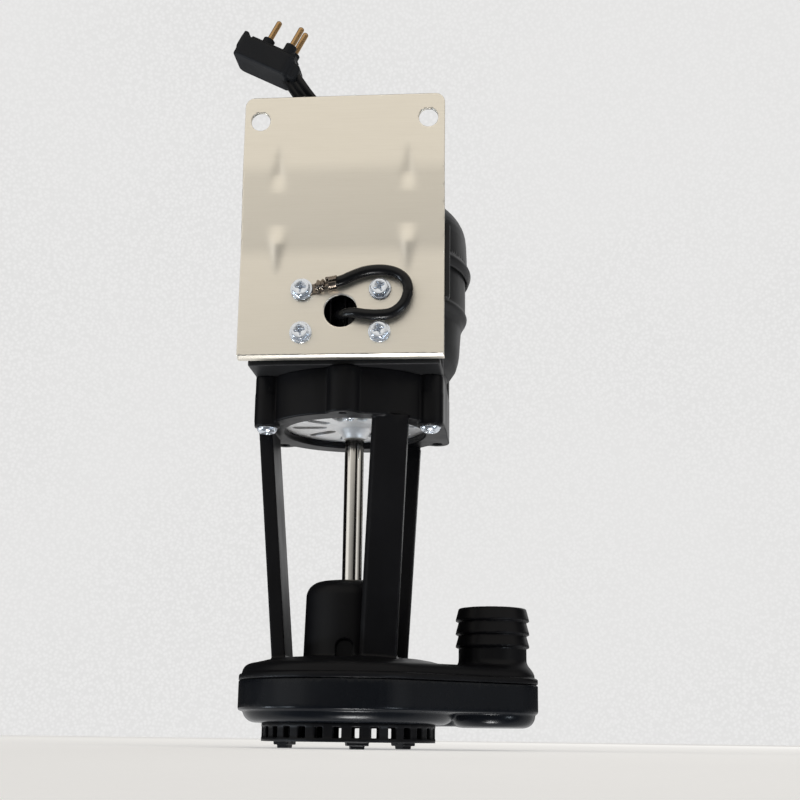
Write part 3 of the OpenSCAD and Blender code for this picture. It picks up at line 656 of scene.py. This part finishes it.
def f_frame(x, y, z):
    o = outline(x, y)
    r = np.hypot(x, y)
    ro = ring(x, y, OX, OY, 0)
    flange = fi(fi(o, 26.0 - z, 0.3), z - 28.4, 0.7)
    low = fi(fi(o + 1.3, 26.0 - z, 0), z - 32.5, 3.6)
    dome = np.maximum(poly_lathe(r, z, DOME), 26.0 - z)
    d = fu(flange, fu(low, dome, 1.5), 0.5)
    hub = fi((r + (z - 33) * 0.023 - 18.9), z - 65.7, 6.2)
    hub = np.maximum(hub, 30 - z)
    d = fu(d, hub, 1.2)
    neck = np.maximum(fi(ro - 13.9, z - 52, 0), 30 - z)
    d = fu(d, neck, 3.2)
    for z0, z1 in ((40.6, 45.6), (45.8, 51.0), (51.2, 56.6)):
        cone = (ro - (15.1 + (13.9 - 15.1) * np.clip((z - z0 - 0.7) / (z1 - z0 - 0.7), 0, 1))) * 0.97
        d = np.minimum(d, fi(fi(cone, z0 - z, 0.18), z - z1, 0.4))
    legs = leg(x, y, z, 180, 0, 20, 0.6)
    legs = np.minimum(legs, leg(x, y, z, -60, -30, 14.6, 1.7))
    legs = np.minimum(legs, leg(x, -y, z, -60, -30, 14.6, 1.7))
    d = fu(d, legs, 0.9)
    zz = fi(128 - z, z - 147, 0)
    rg = fu(r - 38.5, np.minimum(ring(np.abs(x), np.abs(y), 33.3, 21, 5.2), box2(np.abs(x), np.abs(y), 28.1, 38.5, -21, 21, 0.3)), 0.8)
    rg = fu(rg, ring(x, y, 0, -35.6, 6.9), 0.8)
    rg = fi(fi(rg, 128 - z, 0.6), z - 147, 0.4)
    low_boss = fi(ring(np.abs(x), y, 33.3, -21, 5.2), band(z, 126.2, 140), 0.5)
    rg = fu(rg, low_boss, 0.4)
    hole = np.minimum(fi(r - 29.4, z - 140, 0), np.maximum(r - 36.5, 130.6 - z))
    rg = fd(rg, hole, 0.5)
    d = fu(d, rg, 0.7)
    cav = fi(o + 3.8, z - 29.6, 1)
    cav = fu(cav, fi(r - 38.5, z - 32, 2), 0.5)
    cav = np.minimum(cav, fi(r - 15.9, z - 62, 2))
    cav = np.minimum(cav, fi(r - 5.4, z - 80, 0))
    cav = np.minimum(cav, np.maximum(ro - 9.9, z - 62))
    d = fd(d, cav, 0.5)
    notch = np.minimum(np.maximum(band(x, -3.4, 3.4), band(z, 34.2, 38.45)), np.maximum(np.hypot(x, z - 38.45) - 3.4, 0 * z - 1))
    d = fd(d, np.maximum(notch, band(y, -30, -17)), 0.4)
    holes = np.minimum(ring(np.abs(x), np.abs(y), 33.3, 21, 2.1), ring(x, y, 0, -38.4, 1.5))
    return fd(d, np.maximum(holes, 110 - z), 0.35)


solid("pump_frame", f_frame, (-45, -49, 25.4), (76, 45, 148), 0.62, "moulded_black", keep=0.42, replaces=("frame", "frame_outlet"))


def f_strainer(x, y, z):
    r, a = np.hypot(x, y), np.arctan2(y, x)
    top = fi(fi(r - 34.6, 31.6 - r, 0.2), band(z, 8.2, 9.75), 0.35)
    base = fi(r - 34.6, band(z, 2.6, 4.2), 0.35)
    k12 = (a / (math.pi / 6)) % 1 - 0.5
    sx, sy = r * np.cos(k12 * math.pi / 6), r * np.sin(k12 * math.pi / 6)
    base = fd(base, box2(sx, sy, 10, 26, -1.2, 1.2, 1.2), 0.3)
    n = 30
    kb = (a / (2 * math.pi / n) + 0.5) % 1 - 0.5
    bx, by = r * np.cos(kb * 2 * math.pi / n), r * np.sin(kb * 2 * math.pi / n)
    bars = np.maximum(box2(bx, by, 31.6, 34.45, -1.95, 1.95, 0.35), band(z, 3.5, 9))
    d = fu(top, fu(base, bars, 0.25), 0.25)
    for c in (-76, 44, 164):
        ca, sa = math.cos(math.radians(c)), math.sin(math.radians(c))
        u, v = x * ca + y * sa, -x * sa + y * ca
        d = fu(d, fi(box2(u, v, 24.8, 31.2, -4.2, 4.2, 0.6), band(z, 1.3, 3.5), 0.3), 0.2)
        d = fu(d, fi(box2(u, v, 25.7, 30.3, -2.7, 2.7, 0.6), band(z, 0, 3.0), 0.35), 0.2)
    return d


solid("inlet_strainer", f_strainer, (-35, -35, 0), (35, 35, 10), 0.42, "moulded_black", keep=0.6, replaces=("strainer",))

# ------------------------------------------------------------------ motor covers
BY = 52.2
HOUSE = [(36.5, 147), (38.4, 147), (38.4, 151.6), (40.4, 153.2), (42.3, 156), (43.3, 159.4), (43.7, 162), (44.0, 167), (44.4, 172.4), (45.4, 174.9), (46.5, 176.6),
         (46.9, 177.6), (46.9, 178.2), (46.5, 179.1), (46.2, 179.6), (46.2, 200), (43.6, 200), (43.6, 177), (41.6, 173), (41.2, 161), (39.6, 157), (36.5, 155)]


def f_housing(x, y, z):
    r = np.hypot(x, y)
    d = poly_lathe(r, z, HOUSE)
    boss = np.maximum(ring(np.abs(x), np.abs(y), 33.3, 21, 5.1), band(z, 147.02, 167))
    d = fu(d, boss, 0.8)
    pad = fi(box2(x, z, -37.5, 37.5, 153.8, 192.2, 1.6), band(y, -51.0, -38.2), 0.5)
    pad = np.maximum(pad, 39.2 - r)
    d = fu(d, pad, 0.8)
    rim = fi(box2(x, y, -38.2, 38.2, -41, -17, 0.6), band(z, 147.01, 150.01), 0.4)
    d = fu(d, np.maximum(rim, 36.5 - r), 0.5)
    cz = 165.65
    win = np.maximum(box2(x, z, -8.4, 8.4, cz - 8, cz + 8, 0.5), band(y, -53, -45.8))
    for a, w in ((-7.9, 2.6), (-4.6, 5.2), (1.4, 2.6), (5, 2.6)):
        win = np.minimum(win, np.maximum(box2(x, z, a, a + w, cz - 8, cz + 8, 0.3), band(y, -54, -33)))
    d = fd(d, win, 0.3)
    hs = np.minimum(np.maximum(np.hypot(np.abs(x) - 15.4, z - 157), 0) - 1.95, np.hypot(np.abs(x) - 15.4, z - 174.3) - 1.95)
    d = fd(d, np.maximum(hs, band(y, -60, -40)), 0.2)
    cb = np.maximum(ring(np.abs(x), np.abs(y), 33.3, 21, 1.95), band(z, 140, 164))
    d = fd(d, cb, 0.2)
    return np.maximum(d, -np.maximum(r - 36.5, z - 183))


solid("motor_shell", f_housing, (-47.5, -51.5, 146.8), (47.5, 47.5, 200.4), 0.65, "cover_black", keep=0.5, replaces=("motor_housing",))

CT = 228.4
CAP = [(0, CT), (12, CT - 0.1), (22, CT - 0.6), (28, CT - 1.2), (32, CT - 1.9), (35, CT - 2.7), (37.6, CT - 3.8), (39.8, CT - 5.1), (41.6, CT - 6.6), (43.1, CT - 8.2), (44.4, CT - 10), (45.5, CT - 12.2),
       (46.2, CT - 14.6), (46.6, CT - 18), (46.8, 206), (47, 200.6), (47.5, 199.2), (48.3, 198.2), (48.6, 197.4), (48.4, 196.2), (47.6, 194.2), (47.2, 193.8), (46.5, 193.8), (46.5, 200.2), (43.9, 200.2),
       (43.9, CT - 12.4), (41.6, CT - 9.2), (36.6, CT - 6), (30, CT - 4.6), (0, CT - 3)]


def f_cap(x, y, z):
    r = np.hypot(x, y)
    d = poly_lathe(r, z, CAP)
    hood = fi(fi(box2(x, y, -36.4, -26.8, -6, 3, 1.4), band(z, 218, 236.4), 1.2), r - 39, 0.8)
    hood = np.maximum(hood, -(poly_lathe(r, z, CAP[-6:] + [(0, 200.2)])))
    d = fu(d, hood, 1.4)
    s = fi(box2(x, y, -38, 40.2, -50.6, -46.4, 0.8), band(z, 200.4, 218.4), 0.8)
    s = np.minimum(s, fi(box2(x, y, 37.7, 42.4, -50.6, -47.0, 0.8), band(z, 171, 202), 0.8))
    s = fu(s, fi(box2(x, y, -30, 30, -50.6, -38.6, 0.8), band(z, 200.4, 212.4), 0.8), 0.5)
    s = np.maximum(s, 46.4 - r)
    return fu(d, s, 0.5)


solid("motor_cover", f_cap, (-49, -51, 170.5), (49, 49, 236.6), 0.65, "cover_black", keep=0.5, replaces=("motor_cap",))


# ------------------------------------------------------------------ bracket
def smooth_step(t):
    t = np.clip(t, 0, 1)
    return t * t * (3 - 2 * t)


def front_y(z):
    """Front face of the sheet at a height, with bends of a real radius."""
    t = (z - 190) / 35.0
    s = 2.4 / 35.0
    soft = 3.0
    a = np.where(z < 190 - soft, 0, np.where(z > 190 + soft, s * (z - 190), s * (z - 190 + soft) ** 2 / (4 * soft)))
    b = np.where(z < 225 - soft, 0, np.where(z > 225 + soft, s * (z - 225), s * (z - 225 + soft) ** 2 / (4 * soft)))
    return -BY - (a - b)


def dart(x, z, z0, z1, w):
    """Pressed dart: widest at z1, running out to a point at z0."""
    L = np.clip((z - z0) / (z1 - z0), 0, 1)
    along = smooth_step(L / 0.65) * smooth_step((1 - L) / 0.42)
    return along * np.exp(-((np.abs(x) - 26) / (w * (0.45 + 0.75 * L))) ** 2)


def f_bracket(x, y, z):
    bump_ = 0.95 * dart(x, z, 180, 202, 2.7) - 0.75 * dart(x, z, 236, 214, 2.5)
    yf = front_y(z) - bump_
    sheet = np.maximum(yf - y, y - (yf + 1.2)) * 0.93
    sheet = fi(sheet, box2(x, z, -40.5, 40.5, 140, 256, 4.0), 0.18)
    sheet = np.maximum(sheet, 147.9 - z)
    # lower return flange, with its bend
    u, v = y + BY, z - 147
    prof = box2(u, v, 0, 60, 0, 60, 2.2)
    inner = box2(u, v, 1.2, 60, 1.2, 60, 1.0)
    fl = np.maximum(np.maximum(prof, -inner), np.maximum(u - 4.4, v - 3))
    fl = fi(fl, band(x, -40.5, 40.5), 0.18)
    d = np.minimum(sheet, fl)
    h = np.minimum(np.hypot(np.abs(x) - 33.95, z - 245.4) - 3.85, np.hypot(x, z - 165.65) - 6.5)
    h = np.minimum(h, np.minimum(np.hypot(np.abs(x) - 15.4, z - 157), np.hypot(np.abs(x) - 15.4, z - 174.3)) - 2.2)
    return fd(d, h, 0.15)


solid("mounting_bracket", f_bracket, (-40.6, -56.2, 146.9), (40.6, -44, 256.1), 0.48, "brushed_stainless", keep=0.5, replaces=("bracket",))


# ------------------------------------------------------------------ screws, made once and repeated
def cross_recess(x, y, z, top, reach, depth):
    k = 1 - np.clip((top - z) / depth, 0, 1) * 0.6
    arm = np.minimum(box2(x, y, -reach, reach, -0.38, 0.38, 0.1), box2(x, y, -0.38, 0.38, -reach, reach, 0.1)) + (1 - k) * reach * 0.5
    core = np.hypot(x, y) - 0.95 * k
    return np.maximum(np.minimum(arm, core), top - depth - z)


def f_hexscrew(x, y, z):
    r = np.hypot(x, y)
    washer = fi(r - 4.4, band(z, 0.02, 0.95), 0.3)
    hexa = np.maximum(np.maximum(np.abs(x), np.abs(x * 0.5 + y * 0.8660254)), np.abs(x * 0.5 - y * 0.8660254)) - 3.18
    head = fi(hexa, band(z, 0.5, 3.4), 0.16)
    head = fi(head, (r - 3.55 + (z - 3.0) * 1.2) * 0.64, 0.12)
    dish = np.sqrt(r * r + (z - 8.2) ** 2) - 5.15
    head = fd(head, dish, 0.15)
    d = fu(washer, head, 0.25)
    d = fd(d, cross_recess(x, y, z, 3.4, 2.15, 2.1), 0.1)
    shank = np.maximum(r - 1.85 - 0.12 * np.cos((z * 2 * math.pi / 1.4) - np.arctan2(y, x)), band(z, -9, 0.3))
    return np.minimum(d, shank)


def f_panscrew(R, H, S, L):
    def f(x, y, z):
        r = np.hypot(x, y)
        dome = np.sqrt(r * r + ((z + H * 0.25) * 1.15) ** 2) - R * 1.02
        head = fi(fi(r - R, band(z, -0.02, H), 0.35), dome, 0.3)
        head = fd(head, cross_recess(x, y, z, H, R * 0.5, H * 0.75), 0.08)
        return np.minimum(head, np.maximum(r - S, band(z, -L, 0.2)))
    return f


def frame_of(loc, normal, spin=0.0):
    """Matrix that carries local +Z to normal at loc."""
    q = Vector(normal).to_track_quat("Z", "Y").to_matrix().to_4x4()
    m_ = q @ Matrix.Rotation(math.radians(spin), 4, "Z")
    m_.translation = Vector(loc)
    return np.array(m_)


def repeated(name, f, lo, hi, h, places, mat, body="housing", keep=1.0, replaces=()):
    P, F, wear = surface(f, lo, hi, h)
    V = np.concatenate([P @ R[:3, :3].T + R[:3, 3] for R in places])
    FF = np.concatenate([F + i * len(P) for i in range(len(places))])
    ob = new_object(name, V, FF, mat, np.tile(wear, len(places)), body)
    if keep < 1:
        ob.modifiers.new("thin", "DECIMATE").ratio = keep
        bake_modifiers(ob)
    w_ = ob.modifiers.new("normals", "WEIGHTED_NORMAL")
    w_.mode, w_.weight = "FACE_AREA", 50
    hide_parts(*replaces)
    return ob


spins = {(-1, 0): 12, (1, 0): 20, (-1, 1): -4, (1, 1): 28}
places = []
for sx in (-1, 1):
    for i, z in enumerate((157, 174.3)):
        lift = 0.8 if (sx < 0 and i == 1) else 0.0
        places.append(frame_of((sx * 15.4, -BY - lift, z), (0, -1, 0), spins[(sx, i)]))
repeated("bracket_hex_screws", f_hexscrew, (-4.5, -4.5, -9), (4.5, 4.5, 3.5), 0.2, places, "zinc_steel", keep=0.55, replaces=("bracket_screws",))
repeated("corner_screws", f_panscrew(4.3, 2.4, 1.9, 28), (-4.4, -4.4, -28), (4.4, 4.4, 2.5), 0.26,
         [frame_of((sx * 33.3, -21, 126.2), (0, 0, -1), 25 * sx) for sx in (-1, 1)], "zinc_steel", keep=0.5, replaces=("ring_screws",))
repeated("end_shield_screw", f_panscrew(2.6, 1.5, 1.35, 4.9), (-2.7, -2.7, -5.1), (2.7, 2.7, 1.6), 0.2,
         [frame_of((0, -19.5, 130.9), (0, 0, -1), 15)], "zinc_steel", keep=0.6, replaces=("shield_screw",))


# ------------------------------------------------------------------ crimp terminal of the earth wire
def f_terminal(x, y, z):
    # local frame: x across towards the wire, y up, z towards the viewer
    ringp = fi(fi(np.hypot(x, y) - 3.9, 2.15 - np.hypot(x, y), 0.1), band(z, 0, 0.8), 0.15)
    tongue = fi(box2(x, y, 0, 7.6, -1.8, 2.2, 0.5), band(z, 0, 0.8), 0.15)
    tongue = np.maximum(tongue, 2.3 - np.hypot(x, y))
    d = fu(ringp, tongue, 0.4)
    cx, cy, cz = x - 6.4, y - 0.8 - (x - 6.4) * 0.14, z - 2.2 - np.clip((x - 6.4) * 0.16, 0, 1.2)
    rr = np.hypot(cy, cz)
    bead = 0.28 * np.cos(x * 2 * math.pi / 1.9)
    barrel = np.maximum(np.abs(rr - 1.75 + bead) - 0.42, band(x, 6.2, 9.4))
    wires = np.maximum(np.hypot(np.abs(cy) - 0.55, np.abs(cz) - 0.5) - 0.62, band(x, 5.4, 14.0))
    wing = np.maximum(np.abs(np.hypot(cy, cz - 0.25) - 2.35) - 0.34, band(x, 11.0, 14.2))
    wing = fi(wing, -np.maximum(np.abs(cy) - 0.35, -cz), 0.2)
    ear = np.minimum(box2(cy, cz, 1.2, 2.0, 0.2, 3.1, 0.3), box2(cy, cz, -2.0, -1.2, 0.2, 3.0, 0.3))
    ear = np.maximum(ear, band(x, 9.9, 11.3))
    d = fu(d, barrel, 0.3)
    return np.minimum(d, np.minimum(wires, np.minimum(wing, ear)))


solid("earth_terminal", f_terminal, (-4, -4, -0.2), (14.6, 5, 6.4), 0.2, "terminal_bronze", keep=0.7,
      place=np.array([[1, 0, 0, -15.4], [0, 0, -1, -BY], [0, 1, 0, 174.3], [0, 0, 0, 1]], float), replaces=("ring_terminal",))


# ------------------------------------------------------------------ plug and its boot
PLUG = np.array(Matrix.Translation((-32, -49, 274.6)) @ Matrix.Rotation(math.radians(27), 4, "Y"))


def f_plug(x, y, z):
    d = fi(box2(x, y, -13.8, 10.8, -8.3, 8.3, 2.8), band(z, -5.6, 3.8), 1.0)
    # finger grip: the upper left corner stands up as a lip
    lip = fi(box2(x, z, -13.8, -11.6, -2, 5.6, 0.7), band(y, -7.6, 7.6), 0.7)
    d = fu(d, lip, 1.0)
    nose = fi(fi(box2(x, y, 4, 14.4, -5.2, 5.2, 2.2), band(z, -4.6, 2.2), 1.2), x + z * 0.4 - 14.4, 1.0)
    d = fu(d, nose, 1.2)
    d = fu(d, fi(box2(x, y, -11.2, 9.6, -4.6, 4.6, 1.0), band(z, 2, 5.8), 0.4), 0.6)
    for cx, cy in ((-5.4, 0), (5.8, 3.4), (5.8, -3.4)):
        d = fu(d, fi(ring(x, y, cx, cy, 2.5), band(z, 4, 8.9), 0.35), 0.35)
    return d


plug = solid("plug_moulding", f_plug, (-14, -8.5, -5.8), (14.8, 8.5, 9.1), 0.4, "plug_black", keep=0.6, place=PLUG, replaces=("plug_body",))


def f_pins(x, y, z):
    d = None
    for cx, cy, top in ((-5.4, 0, 18.0), (5.8, -3.4, 18.0), (5.8, 3.4, 19.4)):
        r = ring(x, y, cx, cy, 0)
        p = fi(r - 1.2, z - top, 1.0)
        p = np.maximum(p, 8.2 - z)
        d = p if d is None else np.minimum(d, p)
    return d


pins = solid("plug_prongs", f_pins, (-7, -5, 8), (7.4, 5, 19.5), 0.22, "pin_brass", keep=0.7, place=PLUG, replaces=("plug_pins",))

_t = np.linspace(0, 1, 21)
boot_path = cord_path[:21]
boot_sec = [((3.9 if abs(c) > 0.3 else 3.9) * np.sign(c) * abs(c) ** 0.6, 2.9 * np.sign(s_) * abs(s_) ** 0.6) for c, s_ in ((math.cos(a), math.sin(a)) for a in np.arange(28) * math.pi / 14)]
boot_scale = 1.28 - 0.22 * _t
boot_scale[2::3] -= 0.09
boot = sweep("strain_relief_boot", boot_path, cord_side[:21], boot_sec, "lead_black", replaces=("strain_relief",), scale=boot_scale)

# ------------------------------------------------------------------ CAD nodes that stay
for node_, ob in NODE.items():
    if ob.hide_render:
        continue
    slot_ = next((s["material_slot"] for s in frame["record"]["subparts"] if s["node"] == node_), None)
    mat_ = M.get(slot_)
    if mat_ is None:
        continue
    ob.data.materials.clear()
    ob.data.materials.append(mat_)
    w = ob.modifiers.new("weld", "WELD")
    w.merge_threshold = 1e-6
    b = ob.modifiers.new("edges", "BEVEL")
    b.width = 0.00025 if node_ in ("shaft", "windings", "stator", "rotor", "fan", "impeller", "lower_end_shield", "upper_end_shield") else 0.00012
    b.segments = 2
    b.limit_method = "ANGLE"
    b.angle_limit = math.radians(38)
    b.harden_normals = False
    n_ = ob.modifiers.new("normals", "WEIGHTED_NORMAL")
    n_.keep_sharp = False
